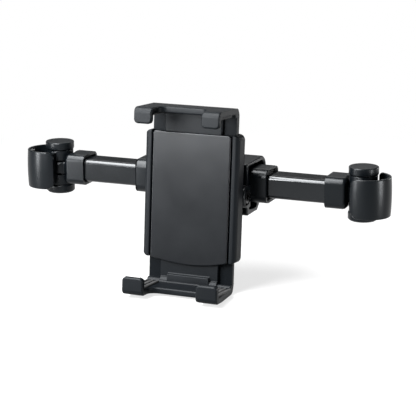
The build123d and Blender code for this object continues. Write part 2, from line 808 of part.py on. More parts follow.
def hook():
    """Crowned C-shaped band round the post, tied by a web to two hinge knuckles."""
    rim = hook_outer_radius - hook_crown
    profile = make_face([
        Polyline(
            (rim, hook_half_height),
            (hook_inner_radius, hook_half_height),
            (hook_inner_radius, -hook_half_height),
            (rim, -hook_half_height),
        ),
        ThreePointArc((rim, -hook_half_height), (hook_outer_radius, 0), (rim, hook_half_height)),
    ])
    sweep = hook_back_angle - hook_front_angle
    band = revolve(Plane.XZ * profile, Axis.Z, sweep)
    band = Pos(centre_x, centre_y, 0) * Rot(0, 0, hook_front_angle) * band
    front_end = centre_x + hook_outer_radius * cos(radians(hook_front_angle))
    back_end = centre_x + hook_inner_radius * cos(radians(hook_back_angle))
    far = 4 * hook_outer_radius
    front_view = Pos(front_end + far / 2, 0) * RectangleRounded(far, 2 * hook_half_height, hook_front_corner)
    back_view = Pos(back_end + far / 2, 0) * RectangleRounded(far, 2 * hook_half_height, hook_back_corner)
    band = band & (plate_xz(front_view, -far, centre_y) + plate_xz(back_view, centre_y, far))
    knuckle = rod_z(barrel_radius, knuckle_half + slide_gap, barrel_half)
    knuckle = fillet(knuckle.edges().filter_by(GeomType.CIRCLE).sort_by(Axis.Z)[-1], slide_gap)
    knuckles = knuckle + mirror(knuckle, about=Plane.XY)
    web = block(web_inner, web_outer, centre_y - hook_inner_radius - hook_wall / 2, -barrel_radius / 2,
                -web_half_height, web_half_height)
    web = web & rod_z(hook_inner_radius + hook_wall / 2, -far, far, centre_x, centre_y)
    web = web - rod_z(barrel_radius + slide_gap / 2, -knuckle_half - slide_gap, knuckle_half + slide_gap)
    return band + knuckles + web - rod_z(pivot_bolt_radius + bore_gap, -far, far)


def hook_pad():
    """Rubber seat inside the band, hollowed to the headrest post."""
    lining = Pos(centre_x, centre_y) * Circle(hook_inner_radius - seat_gap)
    lining = lining - Pos(post_x, post_y) * Circle(post_radius)
    reach = 3 * hook_outer_radius
    start = radians(hook_direction - pad_half_angle)
    end = radians(hook_direction + pad_half_angle)
    middle = radians(hook_direction)
    wedge = polygon([
        (post_x, post_y),
        (post_x + reach * cos(start), post_y + reach * sin(start)),
        (post_x + reach * cos(middle), post_y + reach * sin(middle)),
        (post_x + reach * cos(end), post_y + reach * sin(end)),
    ])
    return extrude(lining & wedge, pad_half_height, both=True)


def pivot_bolt():
    """Vertical hinge bolt, from the bottom cap to the knob."""
    return rod_z(pivot_bolt_radius, -barrel_top - blind_depth, barrel_top + blind_depth)


def clamp_knob():
    """Round flat-topped knob on the bolt's upper end."""
    knob = rod_z(knob_radius, barrel_top, barrel_top + knob_height)
    knob = fillet(knob.edges().filter_by(GeomType.CIRCLE).sort_by(Axis.Z)[-1], knob_edge)
    return knob - rod_z(pivot_bolt_radius + bore_gap, 0, barrel_top + blind_depth + seat_gap)


def bottom_cap():
    """Round nut cap on the bolt's lower end."""
    cap = rod_z(knob_radius, -barrel_top - cap_height, -barrel_top)
    cap = chamfer(cap.edges().filter_by(GeomType.CIRCLE).sort_by(Axis.Z)[0], cap_edge)
    return cap - rod_z(pivot_bolt_radius + seat_gap, -barrel_top - blind_depth - seat_gap, 0)


def write(name, part):
    """Write one piece to its own file."""
    export_step(part, os.path.join("parts", name + ".step"))


def main():
    """Build every piece and put it in its place."""
    os.makedirs("parts", exist_ok=True)
    saddle_pieces = (hub_saddle, saddle_screws, tilt_bolt, tilt_nut)
    holder_pieces = (tilt_bracket, swivel_washer, swivel_retainer, retainer_screw, back_shell, front_cover,
                     cover_screws, top_jaw, bottom_jaw, top_jaw_pads, bottom_jaw_pads, jaw_pinion)
    hub_pairs = (mouth_bush, stop_screw)
    arm_pieces = (arm_tube, arm_end_plug, end_collar, collar_screw, hook, hook_pad, pivot_bolt, clamp_knob,
                  bottom_cap)
    write("crossbar_sleeve", crossbar_sleeve())
    for piece in saddle_pieces:
        write(piece.__name__, Pos(holder_x, 0, 0) * piece())
    for piece in holder_pieces:
        write(piece.__name__, holder_place * piece())
    spring = jaw_spring()
    write("upper_spring", holder_place * spring)
    write("lower_spring", holder_place * Rot(0, 180, 0) * spring)
    for piece in hub_pairs:
        part = piece()
        write(piece.__name__ + "_right", part)
        write(piece.__name__ + "_left", mirror(part, about=Plane.YZ))
    for piece in arm_pieces:
        part = piece()
        write(piece.__name__ + "_right", Pos(pivot_x, 0, 0) * part)
        write(piece.__name__ + "_left", Pos(-pivot_x, 0, 0) * mirror(part, about=Plane.YZ))


if __name__ == "__main__":
    main()
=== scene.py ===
import json
import math
from itertools import combinations

import bmesh
import bpy
from bpy.props import FloatProperty, FloatVectorProperty, IntProperty, PointerProperty
from mathutils import Matrix, Vector
from mathutils.bvhtree import BVHTree
from mathutils.geometry import intersect_line_line_2d, intersect_point_line
from mathutils.kdtree import KDTree

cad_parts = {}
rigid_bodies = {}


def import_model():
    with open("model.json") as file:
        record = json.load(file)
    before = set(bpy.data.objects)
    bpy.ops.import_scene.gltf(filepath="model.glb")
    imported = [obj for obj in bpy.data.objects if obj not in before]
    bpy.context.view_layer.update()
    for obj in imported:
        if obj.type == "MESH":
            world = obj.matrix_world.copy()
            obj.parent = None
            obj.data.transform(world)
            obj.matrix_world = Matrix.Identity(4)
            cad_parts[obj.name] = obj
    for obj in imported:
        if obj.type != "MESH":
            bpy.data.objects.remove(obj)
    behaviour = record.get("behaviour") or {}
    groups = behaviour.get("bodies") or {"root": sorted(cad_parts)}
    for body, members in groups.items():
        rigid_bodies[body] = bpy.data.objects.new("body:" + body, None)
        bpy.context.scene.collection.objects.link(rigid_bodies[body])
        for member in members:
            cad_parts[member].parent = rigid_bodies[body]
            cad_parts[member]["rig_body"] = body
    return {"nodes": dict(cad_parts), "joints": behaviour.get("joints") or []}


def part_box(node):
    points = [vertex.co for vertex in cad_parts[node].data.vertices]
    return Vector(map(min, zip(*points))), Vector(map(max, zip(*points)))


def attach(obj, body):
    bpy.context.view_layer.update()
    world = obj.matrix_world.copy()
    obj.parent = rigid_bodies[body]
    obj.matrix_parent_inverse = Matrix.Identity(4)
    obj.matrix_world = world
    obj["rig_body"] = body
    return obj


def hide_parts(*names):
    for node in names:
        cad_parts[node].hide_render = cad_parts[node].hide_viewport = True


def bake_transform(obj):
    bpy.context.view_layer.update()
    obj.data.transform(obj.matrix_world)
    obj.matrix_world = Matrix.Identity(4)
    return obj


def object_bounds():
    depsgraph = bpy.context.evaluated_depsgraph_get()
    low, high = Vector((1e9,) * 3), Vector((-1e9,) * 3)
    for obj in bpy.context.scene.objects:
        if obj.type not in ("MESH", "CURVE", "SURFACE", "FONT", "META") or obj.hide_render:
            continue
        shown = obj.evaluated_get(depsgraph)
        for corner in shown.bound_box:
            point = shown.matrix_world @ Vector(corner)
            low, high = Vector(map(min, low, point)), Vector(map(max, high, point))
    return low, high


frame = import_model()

bl_info = {
    "name": "Headrest tablet mount",
    "version": (1, 0, 0),
    "blender": (4, 5, 0),
    "location": "View3D > Sidebar > Mount",
    "description": "Dresses the packed solids of a headrest tablet mount and sets its studio",
    "category": "Object",
}

MM = 0.001
CAD_LOW, CAD_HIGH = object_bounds()
SIDES = ("left", "right")
JAWS = ("top_jaw", "bottom_jaw")

# Specular tint of the black plastics, and colours of the steel pieces and the white ones
COOL = (0.94, 0.97, 1.0, 1.0)
STEEL = (0.56, 0.57, 0.6)
BLACK_STEEL = (0.035, 0.035, 0.037)
ACETAL = (0.66, 0.65, 0.61)

# Distances at which two points are one, and at which a point lies in a plane
MERGE = 1e-6
IN_PLANE = 10 * MERGE

# Cosines above which two faces are parallel, and above which a face looks to the holder's front
PARALLEL = 0.995
FORWARD = 0.99

# Angles between two faces up to which they are one, past which their edge is rounded, and from which on it
# gets its full round
FLAT = math.radians(0.5)
SHARP = math.radians(50)
HARD = math.radians(70)

# Two edges compete for room if the cosine between their outward directions is below APART, or if it is above
# ALIKE and one lies beside the other, by a sine above BESIDE
APART = 0.3
ALIKE = 0.85
BESIDE = 0.7

# Room that two rounds need, in widths of a round
ROOM = 2.2

# How far a round's points and a face's filling may lie off the solid, in widths of a round
STRAY = 0.7
MISFIT = 0.5

# How far from such a fault the edges are changed, in widths of a round
KNOT_REACH = 1.2
FOLD_REACH = 1.5

# Steps across a round, and tries at rounding a piece
SEGMENTS = 3
ATTEMPTS = 12

# Share of a round that easing leaves, and the weight below which it is left alone
EASE = 0.6
LEAST_WEIGHT = 0.02

# Finish of each moulded piece, and its share of the plastic's edge round
MOULDED = {
    "front_cover": ("panel_grey", 0.6),
    "back_shell": ("casing_black", 1.0),
    "top_jaw": ("casing_black", 1.0),
    "bottom_jaw": ("casing_black", 1.0),
    "crossbar_sleeve": ("satin_black", 2.5),
    "hub_saddle": ("satin_black", 1.2),
    "tilt_bracket": ("satin_black", 1.2),
}
MOULDED_PAIRS = {
    "end_collar": ("satin_black", 3.5),
    "hook": ("satin_black", 0.5),
    "clamp_knob": ("satin_black", 1.0),
    "bottom_cap": ("satin_black", 1.0),
    "hook_pad": ("rubber_black", 0.5),
}

# The same share for the arm tubes
TUBE_ROUND = 0.25

# Share of their rounds that a jaw's edges keep from its plate back, and how far before the plate that begins
JAW_BACK = 0.45
PLATE_STEP = 0.5 * MM

# How far from the plate's level a face may lie and still be part of the plate
PLATE_DEPTH = 0.1 * MM

# Wire diameters from a spring's eye, at the middle of its wire, to its coil
COIL_LEAD = 1.5

# Lamps: place, aim and size in metres, the setting for their power, and what it is multiplied by
LAMPS = {
    "overhead": ((-0.32, -0.22, 0.81), (0, 0, 0), (0.62, 0.47), "key", 1.0),
    "fill": ((-0.29, -0.53, 0.53), (0, 0, 0), (0.5, 0.35), "fill", 1.0),
    "front": ((-0.11, -0.31, 0.12), (0, 0, 0.05), (0.12, 0.12), "front", 1.0),
    "left strip": ((-0.34, -0.33, 0.018), (-0.12, 0, 0.018), (0.10, 0.165), "strip", 1.5),
    "right strip": ((0.46, -0.085, 0.018), (0.12, 0, 0.018), (0.08, 0.165), "strip", 1.0),
    "back": ((-0.25, 0.55, 0.35), (0, 0, 0), (0.6, 0.2), "back", 1.0),
    "rear strip": ((0.45, 0.55, 0.12), (0, 0, 0), (0.15, 0.25), "strip", 1.0),
}

# Share of the surround's light that is left at the horizon, and the heights between which the light grows
HORIZON = 0.12
SKY_START, SKY_END = 0.1, 0.9

# Floor: its side, the grey that takes the shadow, the share of plain white in its middle, and the distances
# from the middle between which that share grows to the whole
FLOOR_SIZE = 30.0
FLOOR_GREY = 0.45
FLOOR_WHITE = 0.72
FADE_START, FADE_END = 0.10, 0.50

# Width of the camera's sensor in millimetres
SENSOR = 36.0


def joint_named(name):
    """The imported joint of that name."""
    return next(joint for joint in frame["joints"] if joint["name"] == name)


def body_named(node):
    """The body that a CAD node rides on."""
    return frame["nodes"][node]["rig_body"]


def holder_matrix():
    """Frame of the leaning holder: its origin on the tilt axis, Y to the back and Z up the panel."""
    spin = joint_named("holder_spin")
    y_axis = Vector(spin["axis"]).normalized()
    z_axis = Vector(joint_named("top_jaw_slide")["axis"]).normalized()
    x_axis = y_axis.cross(z_axis)
    turn = Matrix((x_axis, y_axis, z_axis)).transposed().to_4x4()
    return Matrix.Translation(Vector(spin["pos_m"])) @ turn


HOLDER = holder_matrix()
FRONT = HOLDER.to_3x3() @ Vector((0, -1, 0))


# Settings

class PlasticSettings(bpy.types.PropertyGroup):
    """Colours and grain of the moulded pieces."""

    casing: FloatVectorProperty(
        name="Casing", description="Colour of the jaws and the casing", subtype="COLOR", size=3,
        default=(0.0010, 0.0015, 0.0021), min=0, max=1)
    panel: FloatVectorProperty(
        name="Panel", description="Colour of the front cover", subtype="COLOR", size=3,
        default=(0.0009, 0.0012, 0.0017), min=0, max=1)
    bar: FloatVectorProperty(
        name="Crossbar", description="Colour of the sleeve, saddle, collars and hooks", subtype="COLOR",
        size=3, default=(0.0010, 0.0015, 0.0020), min=0, max=1)
    tube: FloatVectorProperty(
        name="Tubes", description="Colour of the glossy arm tubes", subtype="COLOR", size=3,
        default=(0.0008, 0.0012, 0.0016), min=0, max=1)
    grain: FloatProperty(
        name="Grain", description="Width of the moulded grain", subtype="DISTANCE", unit="LENGTH",
        default=0.35 * MM, min=0.05 * MM, max=2 * MM)
    edge: FloatProperty(
        name="Edge round", description="Radius put on the moulded edges", subtype="DISTANCE", unit="LENGTH",
        default=1.0 * MM, min=0, max=2 * MM)


class HardwareSettings(bpy.types.PropertyGroup):
    """Sizes of the screws and springs."""

    screw_head: FloatProperty(
        name="Screw head", description="Radius of a screw head", subtype="DISTANCE", unit="LENGTH",
        default=2.7 * MM, min=1 * MM, max=5 * MM)
    screw_height: FloatProperty(
        name="Head height", description="Height of a screw head", subtype="DISTANCE", unit="LENGTH",
        default=1.6 * MM, min=0.5 * MM, max=4 * MM)
    recess: FloatProperty(
        name="Cross recess", description="Half length of the cross in a screw head", subtype="DISTANCE",
        unit="LENGTH", default=1.5 * MM, min=0.5 * MM, max=3 * MM)
    shank: FloatProperty(
        name="Screw shank", description="Radius of a screw's shank", subtype="DISTANCE", unit="LENGTH",
        default=1.4 * MM, min=0.5 * MM, max=3 * MM)
    spring_turns: IntProperty(
        name="Spring turns", description="Turns of each jaw spring", default=30, min=4, max=60)
    spring_wire: FloatProperty(
        name="Spring wire", description="Diameter of the spring wire", subtype="DISTANCE", unit="LENGTH",
        default=0.8 * MM, min=0.3 * MM, max=1.2 * MM)
    spring_radius: FloatProperty(
        name="Spring radius", description="Radius of the coil at the middle of its wire",
        subtype="DISTANCE", unit="LENGTH", default=1.6 * MM, min=1 * MM, max=1.8 * MM)
    spring_eye: FloatProperty(
        name="Spring eye", description="Radius of an end eye at the middle of its wire",
        subtype="DISTANCE", unit="LENGTH", default=1.5 * MM, min=1 * MM, max=2 * MM)


class PadSettings(bpy.types.PropertyGroup):
    """Rubber pads in the jaws."""

    ribs: IntProperty(
        name="Ribs", description="Ribs on each pad", default=4, min=2, max=16)
    rib_width: FloatProperty(
        name="Rib width", description="Width of one rib", subtype="DISTANCE", unit="LENGTH",
        default=1.55 * MM, min=0.3 * MM, max=2 * MM)
    rib_height: FloatProperty(
        name="Rib height", description="Height of the ribs above the pad", subtype="DISTANCE",
        unit="LENGTH", default=0.6 * MM, min=0.1 * MM, max=1 * MM)
    edge: FloatProperty(
        name="Edge round", description="Radius on the pad's edges", subtype="DISTANCE", unit="LENGTH",
        default=0.25 * MM, min=0, max=1 * MM)
    colour: FloatVectorProperty(
        name="Rubber", description="Colour of the rubber", subtype="COLOR", size=3,
        default=(0.0024, 0.0027, 0.0031), min=0, max=1)


class StudioSettings(bpy.types.PropertyGroup):
    """Camera and light."""

    azimuth: FloatProperty(
        name="Azimuth", description="Camera angle round the object", subtype="ANGLE", unit="ROTATION",
        default=math.radians(21.73))
    elevation: FloatProperty(
        name="Elevation", description="Camera angle above the horizon", subtype="ANGLE", unit="ROTATION",
        default=math.radians(14.11))
    distance: FloatProperty(
        name="Distance", description="Camera distance from its target", subtype="DISTANCE", unit="LENGTH",
        default=1098.34 * MM, min=0.1)
    target: FloatVectorProperty(
        name="Target", description="Point that the camera looks at", subtype="XYZ", unit="LENGTH", size=3,
        default=(1.21 * MM, 0, -20.74 * MM))
    lens: FloatProperty(
        name="Lens", description="Focal length in millimetres", default=138.26, min=10)
    ambient: FloatProperty(
        name="Ambient", description="Strength of the light from overhead", default=0.30, min=0)
    key: FloatProperty(
        name="Overhead", description="Power of the wide overhead light", subtype="POWER", unit="POWER",
        default=32.0, min=0)
    fill: FloatProperty(
        name="Fill", description="Power of the wide light in front and above", subtype="POWER",
        unit="POWER", default=15.0, min=0)
    front: FloatProperty(
        name="Front", description="Power of the near light in front of the panel", subtype="POWER",
        unit="POWER", default=3.1, min=0)
    strip: FloatProperty(
        name="Strips", description="Power of each standing strip; the left one gets 1.5 times as much",
        subtype="POWER", unit="POWER", default=1.8, min=0)
    back: FloatProperty(
        name="Back", description="Power of the light behind", subtype="POWER", unit="POWER",
        default=0.6, min=0)


# Node helpers

class NodeGraph:
    """Shorthand for building a shader or geometry tree."""

    def __init__(self, tree):
        self.tree = tree

    def add(self, kind, **values):
        """Add a node, setting its attributes by name and its inputs by index or name in a dict."""
        inputs = values.pop("inputs", {})
        node = self.tree.nodes.new(kind)
        for name, value in values.items():
            setattr(node, name, value)
        for key, value in inputs.items():
            if isinstance(value, bpy.types.NodeSocket):
                self.tree.links.new(value, node.inputs[key])
            else:
                node.inputs[key].default_value = value
        return node

    def link(self, output, target):
        """Join two sockets."""
        self.tree.links.new(output, target)


class GeometryTree(NodeGraph):
    """Geometry tree that works on seat points, with named inputs for its sizes and its finish."""

    def __init__(self, name, sizes):
        super().__init__(bpy.data.node_groups.new(name, "GeometryNodeTree"))
        sockets = self.tree.interface
        sockets.new_socket("Seats", in_out="INPUT", socket_type="NodeSocketGeometry")
        for label, kind in sizes.items():
            sockets.new_socket(label, in_out="INPUT", socket_type="NodeSocket" + kind)
        sockets.new_socket("Finish", in_out="INPUT", socket_type="NodeSocketMaterial")
        sockets.new_socket("Shape", in_out="OUTPUT", socket_type="NodeSocketGeometry")
        self.size = self.add("NodeGroupInput").outputs
        self.result = self.add("NodeGroupOutput")

    def calc(self, operation, first, second):
        """Result of one arithmetic step."""
        return self.add("ShaderNodeMath", operation=operation, inputs={0: first, 1: second}).outputs[0]

    def vector(self, x, y, z):
        """Vector from three numbers or sockets."""
        return self.add("ShaderNodeCombineXYZ", inputs={0: x, 1: y, 2: z}).outputs[0]

    def moved(self, geometry, place, turn=(0, 0, 0)):
        """Geometry turned and then moved."""
        return self.add("GeometryNodeTransform", inputs={
            "Geometry": geometry, "Translation": place, "Rotation": turn}).outputs[0]

    def joined(self, *parts):
        """Several geometries as one."""
        node = self.add("GeometryNodeJoinGeometry")
        for part in parts:
            self.link(part, node.inputs[0])
        return node.outputs[0]

    def placed(self, points, shape, turn=(0, 0, 0)):
        """A shape on every point."""
        return self.add("GeometryNodeInstanceOnPoints", inputs={
            "Points": points, "Instance": shape, "Rotation": turn}).outputs[0]

    def close(self, geometry):
        """End the tree in real geometry with its finish."""
        real = self.add("GeometryNodeRealizeInstances", inputs={0: geometry}).outputs[0]
        finished = self.add("GeometryNodeSetMaterial", inputs={
            "Geometry": real, "Material": self.size["Finish"]}).outputs[0]
        self.link(finished, self.result.inputs[0])
        return self.tree


def new_material(name):
    """Empty node material with its graph and its surface output."""
    material = bpy.data.materials.new(name)
    material.use_nodes = True
    material.node_tree.nodes.clear()
    graph = NodeGraph(material.node_tree)
    output = graph.add("ShaderNodeOutputMaterial")
    return material, graph, output


def ramp(graph, factor, low, high, start=0.3, end=0.7):
    """Map a factor from start..end to low..high; noise mostly lies between the two given here."""
    span = graph.add("ShaderNodeMapRange", inputs={
        "Value": factor, "From Min": start, "From Max": end, "To Min": low, "To Max": high})
    return span.outputs["Result"]


def tinted(graph, factor, colour, spread):
    """Colour that drifts a little darker and lighter with a factor."""
    mix = graph.add("ShaderNodeMix", data_type="RGBA", inputs={0: factor})
    mix.inputs[6].default_value = (*[channel * (1 - spread) for channel in colour], 1)
    mix.inputs[7].default_value = (*[channel * (1 + spread) for channel in colour], 1)
    return mix.outputs[2]


def moulded_plastic(name, colour, roughness, grain, bump, gloss, spread=0.12):
    """Moulded plastic: fine spark-eroded grain, cloudy sheen and a slight drift of colour."""
    pit_share = 0.5
    speck_share = 0.35
    sheen_drift = 0.02
    material, graph, output = new_material(name)
    place = graph.add("ShaderNodeTexCoord").outputs["Object"]
    cloud = graph.add("ShaderNodeTexNoise", inputs={
        "Vector": place, "Scale": 55.0, "Detail": 3.0, "Roughness": 0.55})
    speck = graph.add("ShaderNodeTexNoise", inputs={
        "Vector": place, "Scale": 1.0 / grain, "Detail": 2.0, "Roughness": 0.6})
    pits = graph.add("ShaderNodeTexVoronoi", inputs={"Vector": place, "Scale": 0.7 / grain})
    height = graph.add("ShaderNodeMath", operation="MULTIPLY_ADD", inputs={
        0: pits.outputs["Distance"], 1: pit_share, 2: speck.outputs["Fac"]})
    bumped = graph.add("ShaderNodeBump", inputs={
        "Strength": bump, "Distance": grain * 0.25, "Height": height.outputs[0]})
    mixed = graph.add("ShaderNodeMath", operation="MULTIPLY_ADD", inputs={
        0: speck.outputs["Fac"], 1: speck_share, 2: cloud.outputs["Fac"]})
    shader = graph.add("ShaderNodeBsdfPrincipled", inputs={
        "Base Color": tinted(graph, mixed.outputs[0], colour, spread),
        "Roughness": ramp(graph, cloud.outputs["Fac"], roughness - sheen_drift, roughness + sheen_drift),
        "Specular IOR Level": gloss,
        "Specular Tint": COOL,
        "Normal": bumped.outputs["Normal"]})
    graph.link(shader.outputs[0], output.inputs["Surface"])
    return material


def glossy_tube(name, colour):
    """Glossy extruded plastic, with faint draw lines along the tube."""
    material, graph, output = new_material(name)
    place = graph.add("ShaderNodeTexCoord").outputs["Object"]
    along = graph.add("ShaderNodeMapping", inputs={"Vector": place, "Scale": (6.0, 900.0, 900.0)})
    lines = graph.add("ShaderNodeTexNoise", inputs={
        "Vector": along.outputs[0], "Scale": 1.0, "Detail": 2.0})
    smear = graph.add("ShaderNodeTexNoise", inputs={"Vector": place, "Scale": 70.0, "Detail": 3.0})
    bumped = graph.add("ShaderNodeBump", inputs={
        "Strength": 0.02, "Distance": 0.05 * MM, "Height": lines.outputs["Fac"]})
    shader = graph.add("ShaderNodeBsdfPrincipled", inputs={
        "Base Color": tinted(graph, smear.outputs["Fac"], colour, 0.15),
        "Roughness": ramp(graph, smear.outputs["Fac"], 0.18, 0.24),
        "Specular IOR Level": 0.25,
        "Specular Tint": COOL,
        "Coat Weight": 0.1,
        "Coat Roughness": 0.12,
        "Normal": bumped.outputs["Normal"]})
    graph.link(shader.outputs[0], output.inputs["Surface"])
    return material


def soft_rubber(name, colour):
    """Matte rubber with a dusty, pebbled face."""
    material, graph, output = new_material(name)
    place = graph.add("ShaderNodeTexCoord").outputs["Object"]
    pebble = graph.add("ShaderNodeTexVoronoi", inputs={"Vector": place, "Scale": 2200.0})
    dust = graph.add("ShaderNodeTexNoise", inputs={"Vector": place, "Scale": 260.0, "Detail": 4.0})
    bumped = graph.add("ShaderNodeBump", inputs={
        "Strength": 0.35, "Distance": 0.08 * MM, "Height": pebble.outputs["Distance"]})
    shader = graph.add("ShaderNodeBsdfPrincipled", inputs={
        "Base Color": tinted(graph, dust.outputs["Fac"], colour, 0.35),
        "Roughness": ramp(graph, dust.outputs["Fac"], 0.75, 0.92),
        "Normal": bumped.outputs["Normal"]})
    graph.link(shader.outputs[0], output.inputs["Surface"])
    return material


def plated_steel(name, colour):
    """Zinc-plated or blackened steel with a fine dull grain."""
    material, graph, output = new_material(name)
    place = graph.add("ShaderNodeTexCoord").outputs["Object"]
    grain = graph.add("ShaderNodeTexNoise", inputs={"Vector": place, "Scale": 900.0, "Detail": 3.0})
    bloom = graph.add("ShaderNodeTexNoise", inputs={"Vector": place, "Scale": 420.0, "Detail": 3.0})
    bumped = graph.add("ShaderNodeBump", inputs={
        "Strength": 0.12, "Distance": 0.05 * MM, "Height": grain.outputs["Fac"]})
    shader = graph.add("ShaderNodeBsdfPrincipled", inputs={
        "Base Color": tinted(graph, bloom.outputs["Fac"], colour, 0.1),
        "Metallic": 1.0,
        "Roughness": ramp(graph, grain.outputs["Fac"], 0.24, 0.42),
        "Normal": bumped.outputs["Normal"]})
    graph.link(shader.outputs[0], output.inputs["Surface"])
    return material


def white_acetal(name):
    """Natural acetal, a little translucent and waxy."""
    material, graph, output = new_material(name)
    place = graph.add("ShaderNodeTexCoord").outputs["Object"]
    flow = graph.add("ShaderNodeTexNoise", inputs={"Vector": place, "Scale": 240.0, "Detail": 3.0})
    shader = graph.add("ShaderNodeBsdfPrincipled", inputs={
        "Base Color": tinted(graph, flow.outputs["Fac"], ACETAL, 0.05),
        "Roughness": ramp(graph, flow.outputs["Fac"], 0.38, 0.5),
        "Subsurface Weight": 0.08,
        "Subsurface Scale": 0.6 * MM})
    graph.link(shader.outputs[0], output.inputs["Surface"])
    return material


def make_materials():
    """Every finish of the mount, by its name."""
    plastic = bpy.context.scene.mount_plastic
    grain = plastic.grain
    coarse = grain * 1.4
    return {
        "satin_black": moulded_plastic("satin black", plastic.bar, 0.31, grain, bump=0.08, gloss=0.15),
        "casing_black": moulded_plastic("casing black", plastic.casing, 0.48, grain, bump=0.10, gloss=0.085),
        "matte_black": moulded_plastic("matte black", plastic.casing, 0.48, grain, bump=0.14, gloss=0.04),
        "panel_grey": moulded_plastic(
            "panel grey", plastic.panel, 0.32, coarse, bump=0.14, gloss=0.18, spread=0.2),
        "gloss_black": glossy_tube("gloss black", plastic.tube),
        "rubber_black": soft_rubber("rubber black", bpy.context.scene.mount_pads.colour),
        "steel": plated_steel("plated steel", STEEL),
        "black_steel": plated_steel("blackened steel", BLACK_STEEL),
        "acetal": white_acetal("white acetal"),
    }


MATERIALS = {}


def dress(piece, finish):
    """Give a piece or node one finish."""
    piece.data.materials.clear()
    piece.data.materials.append(MATERIALS[finish])


# Mesh helpers

def link_mesh(name, mesh):
    """New object at the origin for a mesh."""
    piece = bpy.data.objects.new(name, mesh)
    bpy.context.scene.collection.objects.link(piece)
    return piece


def baked(piece):
    """Turn the modified result of a piece into its plain mesh."""
    evaluated = piece.evaluated_get(bpy.context.evaluated_depsgraph_get())
    mesh = bpy.data.meshes.new_from_object(evaluated)
    piece.modifiers.clear()
    piece.data = mesh
    return piece


def shaded(mesh):
    """Smooth shading that stops at sharp edges."""
    mesh.polygons.foreach_set("use_smooth", [True] * len(mesh.polygons))
    mesh.set_sharp_from_angle(angle=SHARP)


def stand_in(piece, node):
    """Let a piece stand for a CAD node, whose own mesh is hidden."""
    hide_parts(node)
    return piece


def add_bevel(piece, edge, limit):
    """Round the edges of a piece, all sharp ones or those with a weight."""
    bevel = piece.modifiers.new("Edge round", "BEVEL")
    bevel.width = edge
    bevel.segments = SEGMENTS
    bevel.limit_method = limit
    bevel.angle_limit = SHARP
    bevel.use_clamp_overlap = False


def share_plane(line, other):
    """True if two edges bound the same flat face."""
    for face in line.link_faces:
        for facing in other.link_faces:
            apart = other.verts[0].co - line.verts[0].co
            if face.normal.dot(facing.normal) > PARALLEL and abs(apart.dot(face.normal)) < IN_PLANE:
                return True
    return False


def round_shares(shape, edge):
    """Sharp edges of a shape, each with the share of the full round that it has room for."""
    sharp = [line for line in shape.edges if len(line.link_faces) == 2 and line.calc_face_angle() > SHARP]
    outward = [sum((face.normal for face in line.link_faces), Vector()).normalized() for line in sharp]
    along = [(line.verts[1].co - line.verts[0].co).normalized() for line in sharp]
    points = []
    for index, line in enumerate(sharp):
        steps = math.ceil(line.calc_length() / edge)
        start, end = (vertex.co for vertex in line.verts)
        points += [(start.lerp(end, step / steps), index) for step in range(steps + 1)]
    near = KDTree(len(points))
    for number, (place, _) in enumerate(points):
        near.insert(place, number)
    near.balance()
    need = ROOM * edge
    room = [need] * len(sharp)
    for place, index in points:
        for other_place, number, distance in near.find_range(place, need):
            other = points[number][1]
            facing = outward[index].dot(outward[other])
            beside = along[index].cross(other_place - place).length > BESIDE * distance
            opposed = facing < APART or (facing > ALIKE and beside and distance > MERGE)
            if opposed and distance < room[index] and share_plane(sharp[index], sharp[other]):
                room[index] = distance
    fade = [min(1.0, (line.calc_face_angle() - SHARP) / (HARD - SHARP)) for line in sharp]
    return {line: gap / need * part for line, gap, part in zip(sharp, room, fade)}


def release_knots(shape, weight, rounded, surface, edge):
    """Take the weight off edges where the round threw points off the surface; true if there were any."""
    stray = {v.index for v in rounded.vertices if surface.find_nearest(v.co)[3] > STRAY * edge}
    roots = set()
    for a, b in (line.vertices for line in rounded.edges):
        if (a in stray) != (b in stray):
            roots.add(b if a in stray else a)
    near = KDTree(len(roots))
    for index in sorted(roots):
        near.insert(rounded.vertices[index].co, index)
    near.balance()
    for line in shape.edges:
        if roots and min(near.find(v.co)[2] for v in line.verts) < KNOT_REACH * edge:
            line[weight] = 0.0
    return bool(roots)


def crossings(mesh, face):
    """Points where the outline of a flat face crosses itself."""
    turn = face.normal.rotation_difference(Vector((0, 0, 1)))
    corners = [turn @ mesh.vertices[index].co for index in face.vertices]
    sides = [(a.to_2d(), b.to_2d()) for a, b in zip(corners, corners[1:] + corners[:1])]
    spots = []
    for a, b in combinations(range(len(sides)), 2):
        if 1 < b - a < len(sides) - 1:
            spot = intersect_line_line_2d(*sides[a], *sides[b])
            if spot:
                spots.append(turn.inverted() @ Vector((*spot, corners[a].z)))
    return spots


def lines_near(lines, spot, reach):
    """Those edges that pass within reach of a point."""
    found = []
    for line in lines:
        start, end = (vertex.co for vertex in line.verts)
        place = min(max(intersect_point_line(spot, start, end)[1], 0.0), 1.0)
        if (start.lerp(end, place) - spot).length < reach:
            found.append(line)
    return found


def misfilled(rounded, surface, edge):
    """Many-sided faces of a mesh whose filling leaves the surface of its solid."""
    rounded.calc_loop_triangles()
    wrong = set()
    for triangle in rounded.loop_triangles:
        if len(rounded.polygons[triangle.polygon_index].vertices) > 4:
            corners = [rounded.vertices[index].co for index in triangle.vertices]
            middles = [(a + b) / 2 for a, b in combinations(corners, 2)] + [sum(corners, Vector()) / 3]
            if max(surface.find_nearest(place)[3] for place in middles) > MISFIT * edge:
                wrong.add(triangle.polygon_index)
    return [rounded.polygons[index] for index in sorted(wrong)]


